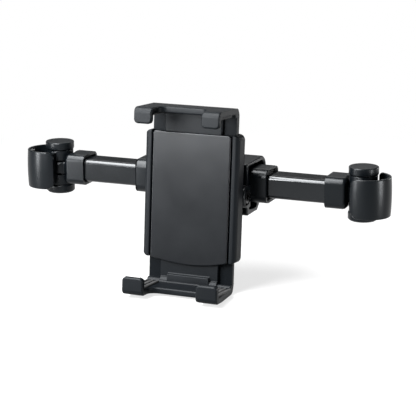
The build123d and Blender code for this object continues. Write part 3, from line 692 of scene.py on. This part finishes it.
def ease_folds(shape, weight, rounded, surface, edge):
    """Make the rounds smaller where a flat face's outline crosses itself; true if there were any."""
    soft = [line for line in shape.edges if line[weight] > LEAST_WEIGHT]
    reach = FOLD_REACH * edge
    eased = set()
    for face in misfilled(rounded, surface, edge):
        level = face.center.dot(face.normal)
        flat = []
        touching = []
        for line in soft:
            ends = sum(abs(v.co.dot(face.normal) - level) < IN_PLANE for v in line.verts)
            if ends == 2:
                flat.append(line)
            elif ends == 1:
                touching.append(line)
        for spot in crossings(rounded, face):
            eased.update(lines_near(flat, spot, reach) or lines_near(touching, spot, reach))
    for line in eased:
        line[weight] *= EASE
    return bool(eased)


def keep_inside(mesh, node):
    """Put points that a round threw past the solid's box back on the box."""
    low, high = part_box(node)
    for vertex in mesh.vertices:
        vertex.co = [min(max(value, least), most) for value, least, most in zip(vertex.co, low, high)]


def plate_level(mesh):
    """Height of a jaw's plate along the holder's front, taken from its largest forward face."""
    areas = {}
    for face in mesh.polygons:
        if face.normal.dot(FRONT) > FORWARD:
            level = round(face.center.dot(FRONT) / MM, 1)
            areas[level] = areas.get(level, 0.0) + face.area
    return max(areas, key=areas.get) * MM


def merged(mesh):
    """Shape of a CAD node's loose triangles with their corners joined."""
    shape = bmesh.new()
    shape.from_mesh(mesh)
    bmesh.ops.remove_doubles(shape, verts=shape.verts, dist=MERGE)
    return shape


def softened(node, edge, finish, behind=1.0):
    """Copy of a moulded CAD piece with rounded edges, smaller from a jaw's plate back, for its node."""
    mesh = frame["nodes"][node].data.copy()
    level = plate_level(mesh) + PLATE_STEP if behind < 1 else None
    shape = merged(mesh)
    bmesh.ops.dissolve_limit(shape, angle_limit=FLAT, verts=shape.verts, edges=shape.edges)
    surface = BVHTree.FromBMesh(shape)
    weight = shape.edges.layers.float.new("bevel_weight_edge")
    for line, share in round_shares(shape, edge).items():
        hidden = level is not None and min(vertex.co.dot(FRONT) for vertex in line.verts) < level
        line[weight] = share * behind if hidden else share
    piece = link_mesh(node + "_moulded", mesh)
    for _ in range(ATTEMPTS):
        shape.to_mesh(mesh)
        piece.data = mesh
        add_bevel(piece, edge, "WEIGHT")
        baked(piece)
        knots = release_knots(shape, weight, piece.data, surface, edge)
        if not ease_folds(shape, weight, piece.data, surface, edge) and not knots:
            break
    shape.free()
    keep_inside(piece.data, node)
    shaded(piece.data)
    piece.modifiers.new("Even shading", "WEIGHTED_NORMAL").keep_sharp = True
    baked(piece)
    dress(piece, finish)
    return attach(stand_in(piece, node), body_named(node))


def matte_plate(jaw):
    """Give the flat plate behind a jaw's lips a matte face."""
    jaw.data.materials.append(MATERIALS["matte_black"])
    level = plate_level(jaw.data)
    for face in jaw.data.polygons:
        off_plate = abs(face.center.dot(FRONT) - level)
        if face.normal.dot(FRONT) > FORWARD and off_plate < PLATE_DEPTH:
            face.material_index = 1


def solids_of(node):
    """Vertex places of each separate solid of a CAD node."""
    shape = merged(frame["nodes"][node].data)
    shape.verts.index_update()
    seen = set()
    solids = []
    for first in shape.verts:
        queue = [] if first.index in seen else [first]
        places = []
        seen.add(first.index)
        while queue:
            vertex = queue.pop()
            places.append(vertex.co.copy())
            for line in vertex.link_edges:
                other = line.other_vert(vertex)
                if other.index not in seen:
                    seen.add(other.index)
                    queue.append(other)
        if places:
            solids.append(places)
    shape.free()
    return solids


def box_in(matrix, places):
    """Lowest and highest corner of some places, measured in a frame of their own."""
    inverse = matrix.inverted()
    local = [inverse @ place for place in places]
    low = Vector([min(place[axis] for place in local) for axis in range(3)])
    high = Vector([max(place[axis] for place in local) for axis in range(3)])
    return low, high


def grown(name, tree, seats, sizes, finish):
    """Piece that a geometry tree makes on its seat points."""
    mesh = bpy.data.meshes.new(name)
    mesh.from_pydata(seats, [], [])
    piece = link_mesh(name, mesh)
    shape = piece.modifiers.new("Shape", "NODES")
    shape.node_group = tree
    values = dict(sizes, Finish=MATERIALS[finish])
    for socket in tree.interface.items_tree:
        if socket.in_out == "INPUT" and socket.name in values:
            shape[socket.identifier] = values[socket.name]
    return piece


# Geometry trees

def screw_tree():
    """Pan-head screws with a cross recess, one on each seat, all facing one way."""
    tree = GeometryTree("cross screws", {
        "Facing": "Vector", "Head radius": "Float", "Head height": "Float", "Shank radius": "Float",
        "Shank length": "Float", "Recess": "Float"})
    size = tree.size
    height = size["Head height"]
    # Where the crown starts to narrow and by how much, and the cross's width and depth, all as shares
    shoulder_start = 0.35
    dome = 0.75
    slot_width = 0.4
    slot_depth = 1.1
    blank = tree.add("GeometryNodeMeshCylinder", inputs={
        "Vertices": 32, "Side Segments": 6, "Radius": size["Head radius"], "Depth": height}).outputs["Mesh"]
    place = tree.add("GeometryNodeInputPosition").outputs[0]
    part = tree.add("ShaderNodeSeparateXYZ", inputs={0: place}).outputs
    rise = tree.calc("ADD", tree.calc("DIVIDE", part["Z"], height), 0.5)
    shoulder = tree.calc("MAXIMUM", tree.calc("SUBTRACT", rise, shoulder_start), 0.0)
    pinch = tree.calc("MULTIPLY", tree.calc("POWER", shoulder, 2.0), dome)
    keep = tree.calc("SUBTRACT", 1.0, pinch)
    crowned = tree.vector(
        tree.calc("MULTIPLY", part["X"], keep), tree.calc("MULTIPLY", part["Y"], keep),
        tree.calc("MULTIPLY", rise, height))
    domed = tree.add("GeometryNodeSetPosition", inputs={"Geometry": blank, "Position": crowned}).outputs[0]
    slot_size = tree.vector(
        tree.calc("MULTIPLY", size["Recess"], 2.0), tree.calc("MULTIPLY", size["Recess"], slot_width),
        tree.calc("MULTIPLY", height, slot_depth))
    slot = tree.add("GeometryNodeMeshCube", inputs={"Size": slot_size}).outputs["Mesh"]
    crown = tree.vector(0.0, 0.0, height)
    cross = tree.add("GeometryNodeMeshBoolean", operation="DIFFERENCE", inputs={"Mesh 1": domed})
    for turn in (0.0, math.pi / 2):
        tree.link(tree.moved(slot, crown, (0, 0, turn)), cross.inputs["Mesh 2"])
    length = size["Shank length"]
    shank = tree.add("GeometryNodeMeshCylinder", inputs={
        "Vertices": 24, "Radius": size["Shank radius"], "Depth": length}).outputs["Mesh"]
    shank = tree.moved(shank, tree.vector(0.0, 0.0, tree.calc("MULTIPLY", length, -0.5)))
    screw = tree.joined(cross.outputs["Mesh"], shank)
    facing = tree.add("FunctionNodeAlignRotationToVector", axis="Z", inputs={"Vector": size["Facing"]})
    return tree.close(tree.placed(size["Seats"], screw, facing.outputs[0]))


def spring_tree():
    """Close-wound spring up Z, from the centre of its first eye to the centre of its second."""
    tree = GeometryTree("coil spring", {
        "Turns": "Float", "Wire": "Float", "Radius": "Float", "Eye": "Float", "Length": "Float"})
    size = tree.size
    start = tree.calc("ADD", size["Eye"], tree.calc("MULTIPLY", size["Wire"], COIL_LEAD))
    height = tree.calc("SUBTRACT", size["Length"], tree.calc("MULTIPLY", start, 2.0))
    # Half a turn more ends the coil where the second eye's lead begins
    coil = tree.add("GeometryNodeCurveSpiral", inputs={
        "Resolution": 14, "Rotations": tree.calc("ADD", size["Turns"], 0.5), "Start Radius": size["Radius"],
        "End Radius": size["Radius"], "Height": height}).outputs[0]
    coil = tree.moved(coil, tree.vector(0.0, 0.0, start))
    mouth = math.radians(30)
    sweep = 2 * mouth - 2 * math.pi
    eye = tree.add("GeometryNodeCurveArc", mode="RADIUS", inputs={
        "Resolution": 20, "Radius": size["Eye"], "Start Angle": mouth, "Sweep Angle": sweep}).outputs[0]
    eye = tree.moved(eye, (0, 0, 0), (math.pi / 2, 0, 0))
    leave = tree.vector(tree.calc("MULTIPLY", size["Eye"], math.cos(mouth)), 0.0,
                        tree.calc("MULTIPLY", size["Eye"], math.sin(mouth)))
    lead = tree.add("GeometryNodeCurvePrimitiveLine", inputs={
        "Start": leave, "End": tree.vector(size["Radius"], 0.0, start)}).outputs[0]
    end = tree.joined(eye, lead)
    far_end = tree.moved(end, tree.vector(0.0, 0.0, size["Length"]), (0, math.pi, 0))
    section = tree.add("GeometryNodeCurvePrimitiveCircle", inputs={
        "Resolution": 8, "Radius": tree.calc("MULTIPLY", size["Wire"], 0.5)}).outputs[0]
    wire = tree.add("GeometryNodeCurveToMesh", inputs={
        "Curve": tree.joined(coil, end, far_end), "Profile Curve": section, "Fill Caps": True}).outputs[0]
    return tree.close(tree.placed(size["Seats"], wire))


def pad_tree():
    """Rubber pads with ribs underneath, one hung from each seat."""
    tree = GeometryTree("ribbed pads", {
        "Width": "Float", "Length": "Float", "Thickness": "Float", "Ribs": "Int", "Rib width": "Float",
        "Rib height": "Float"})
    size = tree.size
    base = tree.calc("SUBTRACT", size["Thickness"], size["Rib height"])
    slab = tree.add("GeometryNodeMeshCube", inputs={
        "Size": tree.vector(size["Width"], size["Length"], base)}).outputs["Mesh"]
    slab = tree.moved(slab, tree.vector(0.0, 0.0, tree.calc("MULTIPLY", base, -0.5)))
    depth = tree.calc("SUBTRACT", size["Thickness"], tree.calc("MULTIPLY", base, 0.5))
    rib = tree.add("GeometryNodeMeshCube", inputs={
        "Size": tree.vector(size["Rib width"], size["Length"], depth)}).outputs["Mesh"]
    reach = tree.calc("MULTIPLY", tree.calc("SUBTRACT", size["Width"], size["Rib width"]), 0.5)
    level = tree.calc("SUBTRACT", tree.calc("MULTIPLY", depth, 0.5), size["Thickness"])
    row = tree.add("GeometryNodeMeshLine", mode="END_POINTS", inputs={
        "Count": size["Ribs"], "Start Location": tree.vector(tree.calc("MULTIPLY", reach, -1.0), 0.0, level),
        "Offset": tree.vector(reach, 0.0, level)}).outputs[0]
    return tree.close(tree.placed(size["Seats"], tree.joined(slab, tree.placed(row, rib))))


# Operators

class MOUNT_OT_moulded(bpy.types.Operator):
    """Round the edges of the moulded pieces and give them their grain"""

    bl_idname = "mount.moulded"
    bl_label = "Moulded pieces"

    def execute(self, context):
        edge = context.scene.mount_plastic.edge
        for node, (finish, share) in MOULDED.items():
            if node in JAWS:
                matte_plate(softened(node, edge * share, finish, behind=JAW_BACK))
            else:
                softened(node, edge * share, finish)
        for side in SIDES:
            for piece, (finish, share) in MOULDED_PAIRS.items():
                softened(f"{piece}_{side}", edge * share, finish)
        return {"FINISHED"}


class MOUNT_OT_tubes(bpy.types.Operator):
    """Give the arm tubes their gloss, and their end plugs and guide frames a satin face"""

    bl_idname = "mount.tubes"
    bl_label = "Arm tubes"

    def execute(self, context):
        for side in SIDES:
            softened(f"arm_tube_{side}", context.scene.mount_plastic.edge * TUBE_ROUND, "gloss_black")
            dress(frame["nodes"][f"arm_end_plug_{side}"], "satin_black")
            dress(frame["nodes"][f"mouth_bush_{side}"], "satin_black")
        return {"FINISHED"}


class MOUNT_OT_screws(bpy.types.Operator):
    """Put cross-recess screws where the plain ones are"""

    bl_idname = "mount.screws"
    bl_label = "Screws"

    def execute(self, context):
        hardware = context.scene.mount_hardware
        tree = screw_tree()
        down = Vector((0, 0, -1))
        facings = {"saddle_screws": down, "cover_screws": HOLDER.to_3x3() @ Vector((0, 1, 0))}
        for side in SIDES:
            facings[f"stop_screw_{side}"] = Vector((0, 1, 0))
            facings[f"collar_screw_{side}"] = down
        # The screws of one node are all of one length
        for node, facing in facings.items():
            seats = []
            for places in solids_of(node):
                heights = [place.dot(facing) for place in places]
                top = max(heights)
                crown = [place for place, height in zip(places, heights) if top - height < IN_PLANE]
                seats.append(sum(crown, Vector()) / len(crown) - facing * hardware.screw_height)
                length = top - min(heights) - hardware.screw_height
            piece = grown(node + "_cross", tree, seats, {
                "Facing": facing, "Head radius": hardware.screw_head, "Head height": hardware.screw_height,
                "Shank radius": hardware.shank, "Shank length": length, "Recess": hardware.recess}, "steel")
            shaded(baked(piece).data)
            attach(stand_in(piece, node), body_named(node))
        return {"FINISHED"}


class MOUNT_OT_springs(bpy.types.Operator):
    """Wind the two jaw springs, which stretch from the casing to the jaws"""

    bl_idname = "mount.springs"
    bl_label = "Jaw springs"

    def execute(self, context):
        hardware = context.scene.mount_hardware
        tree = spring_tree()
        reach = hardware.spring_eye + hardware.spring_wire / 2
        for node, jaw, turn in zip(("upper_spring", "lower_spring"), JAWS, (0, math.pi)):
            upright = HOLDER @ Matrix.Rotation(turn, 4, "Y")
            low, high = box_in(upright, solids_of(node)[0])
            foot = Vector((0, (low.y + high.y) / 2, low.z + reach))
            length = high.z - low.z - 2 * reach
            piece = grown(node + "_coil", tree, [(0, 0, 0)], {
                "Turns": float(hardware.spring_turns), "Wire": hardware.spring_wire,
                "Radius": hardware.spring_radius, "Eye": hardware.spring_eye, "Length": length}, "steel")
            mesh = baked(piece).data
            mesh.transform(upright @ Matrix.Translation(foot))
            shaded(mesh)
            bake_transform(stand_in(piece, node))
        return {"FINISHED"}


class MOUNT_OT_pads(bpy.types.Operator):
    """Put ribbed rubber pads in the jaws' channels"""

    bl_idname = "mount.pads"
    bl_label = "Jaw pads"

    def execute(self, context):
        pads = context.scene.mount_pads
        tree = pad_tree()
        for jaw, turn in zip(JAWS, (0, math.pi)):
            node = jaw + "_pads"
            upright = HOLDER @ Matrix.Rotation(turn, 4, "Y")
            boxes = [box_in(upright, places) for places in solids_of(node)]
            seats = [((low.x + high.x) / 2, (low.y + high.y) / 2, high.z) for low, high in boxes]
            size = boxes[0][1] - boxes[0][0]
            piece = grown(node + "_ribbed", tree, seats, {
                "Width": size.x, "Length": size.y, "Thickness": size.z, "Ribs": pads.ribs,
                "Rib width": pads.rib_width, "Rib height": pads.rib_height}, "rubber_black")
            add_bevel(piece, pads.edge, "ANGLE")
            mesh = baked(piece).data
            mesh.transform(upright)
            shaded(mesh)
            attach(stand_in(piece, node), body_named(node))
        return {"FINISHED"}


class MOUNT_OT_hardware(bpy.types.Operator):
    """Give the bolts, the turntable's keeper and washer, and the pinion their finishes"""

    bl_idname = "mount.hardware"
    bl_label = "Bolts and gear"

    def execute(self, context):
        nodes = frame["nodes"]
        for name in ("tilt_bolt", "tilt_nut"):
            dress(nodes[name], "black_steel")
        for name in ("swivel_retainer", "retainer_screw", "pivot_bolt_left", "pivot_bolt_right"):
            dress(nodes[name], "steel")
        for name in ("jaw_pinion", "swivel_washer"):
            dress(nodes[name], "acetal")
        return {"FINISHED"}


def soft_box(name, position, aim, size, power):
    """Rectangular area light that faces a point."""
    data = bpy.data.lights.new(name, "AREA")
    data.shape = "RECTANGLE"
    data.size, data.size_y = size
    data.energy = power
    lamp = bpy.data.objects.new(name, data)
    lamp.location = position
    lamp.visible_camera = False
    lamp.rotation_euler = (Vector(aim) - Vector(position)).to_track_quat("-Z", "Y").to_euler()
    bpy.context.scene.collection.objects.link(lamp)


def studio_surround(strength):
    """Plain world, dim at the horizon and brighter overhead."""
    world = bpy.data.worlds.new("studio")
    world.use_nodes = True
    world.node_tree.nodes.clear()
    graph = NodeGraph(world.node_tree)
    towards = graph.add("ShaderNodeTexCoord").outputs["Generated"]
    height = graph.add("ShaderNodeSeparateXYZ", inputs={0: towards}).outputs["Z"]
    level = ramp(graph, height, strength * HORIZON, strength, SKY_START, SKY_END)
    back = graph.add("ShaderNodeBackground", inputs={"Color": (1, 1, 1, 1), "Strength": level})
    output = graph.add("ShaderNodeOutputWorld")
    graph.link(back.outputs[0], output.inputs["Surface"])
    bpy.context.scene.world = world


def floor_material():
    """White floor that keeps the shadow near the object and fades into the white surround."""
    material, graph, output = new_material("white floor")
    place = graph.add("ShaderNodeTexCoord").outputs["Object"]
    reach = graph.add("ShaderNodeVectorMath", operation="LENGTH", inputs={0: place}).outputs["Value"]
    fade = ramp(graph, reach, FLOOR_WHITE, 1.0, FADE_START, FADE_END)
    matte = graph.add("ShaderNodeBsdfDiffuse", inputs={"Color": (FLOOR_GREY, FLOOR_GREY, FLOOR_GREY, 1)})
    glow = graph.add("ShaderNodeEmission", inputs={"Color": (1, 1, 1, 1), "Strength": 1.0})
    mix = graph.add("ShaderNodeMixShader", inputs={0: fade, 1: matte.outputs[0], 2: glow.outputs[0]})
    graph.link(mix.outputs[0], output.inputs["Surface"])
    return material


def add_camera(studio):
    """Camera at the photograph's angle."""
    flat = math.cos(studio.elevation)
    away = Vector((
        math.sin(studio.azimuth) * flat, -math.cos(studio.azimuth) * flat, math.sin(studio.elevation)))
    data = bpy.data.cameras.new("camera")
    data.lens = studio.lens
    data.sensor_width = SENSOR
    camera = bpy.data.objects.new("camera", data)
    camera.location = Vector(studio.target) + away * studio.distance
    camera.rotation_euler = (-away).to_track_quat("-Z", "Y").to_euler()
    bpy.context.scene.collection.objects.link(camera)
    bpy.context.scene.camera = camera


def add_floor():
    """Wide floor under the object's lowest point."""
    mesh = bpy.data.meshes.new("floor")
    shape = bmesh.new()
    bmesh.ops.create_grid(shape, x_segments=1, y_segments=1, size=FLOOR_SIZE / 2)
    bmesh.ops.translate(shape, verts=shape.verts, vec=(0, 0, CAD_LOW.z))
    shape.to_mesh(mesh)
    shape.free()
    floor = link_mesh("floor", mesh)
    mesh.materials.append(floor_material())


class MOUNT_OT_stage(bpy.types.Operator):
    """Set the camera, the lights, the white surround and the floor"""

    bl_idname = "mount.stage"
    bl_label = "Studio"

    def execute(self, context):
        studio = context.scene.mount_studio
        context.scene.view_settings.view_transform = "Standard"
        add_camera(studio)
        studio_surround(studio.ambient)
        for name, (place, aim, size, setting, times) in LAMPS.items():
            soft_box(name, place, aim, size, getattr(studio, setting) * times)
        add_floor()
        return {"FINISHED"}


class MOUNT_PT_panel(bpy.types.Panel):
    """Sidebar panel with the mount's pieces and settings"""

    bl_idname = "MOUNT_PT_panel"
    bl_label = "Headrest tablet mount"
    bl_space_type = "VIEW_3D"
    bl_region_type = "UI"
    bl_category = "Mount"

    def draw(self, context):
        layout = self.layout
        for operator in OPERATORS:
            layout.operator(operator.bl_idname)
        for group in SETTINGS:
            settings = getattr(context.scene, group)
            box = layout.box()
            for name in settings.bl_rna.properties.keys():
                if name not in ("rna_type", "name"):
                    box.prop(settings, name)


SETTINGS = {
    "mount_plastic": PlasticSettings,
    "mount_hardware": HardwareSettings,
    "mount_pads": PadSettings,
    "mount_studio": StudioSettings,
}
OPERATORS = (MOUNT_OT_moulded, MOUNT_OT_tubes, MOUNT_OT_screws, MOUNT_OT_springs, MOUNT_OT_pads,
             MOUNT_OT_hardware, MOUNT_OT_stage)


def register():
    """Register the settings, operators and panel."""
    for name, group in SETTINGS.items():
        bpy.utils.register_class(group)
        setattr(bpy.types.Scene, name, PointerProperty(type=group))
    for item in (*OPERATORS, MOUNT_PT_panel):
        bpy.utils.register_class(item)


def unregister():
    """Take everything out again."""
    for item in reversed((*OPERATORS, MOUNT_PT_panel)):
        bpy.utils.unregister_class(item)
    for name, group in reversed(SETTINGS.items()):
        delattr(bpy.types.Scene, name)
        bpy.utils.unregister_class(group)


def main():
    """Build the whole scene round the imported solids."""
    register()
    MATERIALS.update(make_materials())
    bpy.ops.mount.moulded()
    bpy.ops.mount.tubes()
    bpy.ops.mount.screws()
    bpy.ops.mount.springs()
    bpy.ops.mount.pads()
    bpy.ops.mount.hardware()
    bpy.ops.mount.stage()


if __name__ == "__main__":
    main()
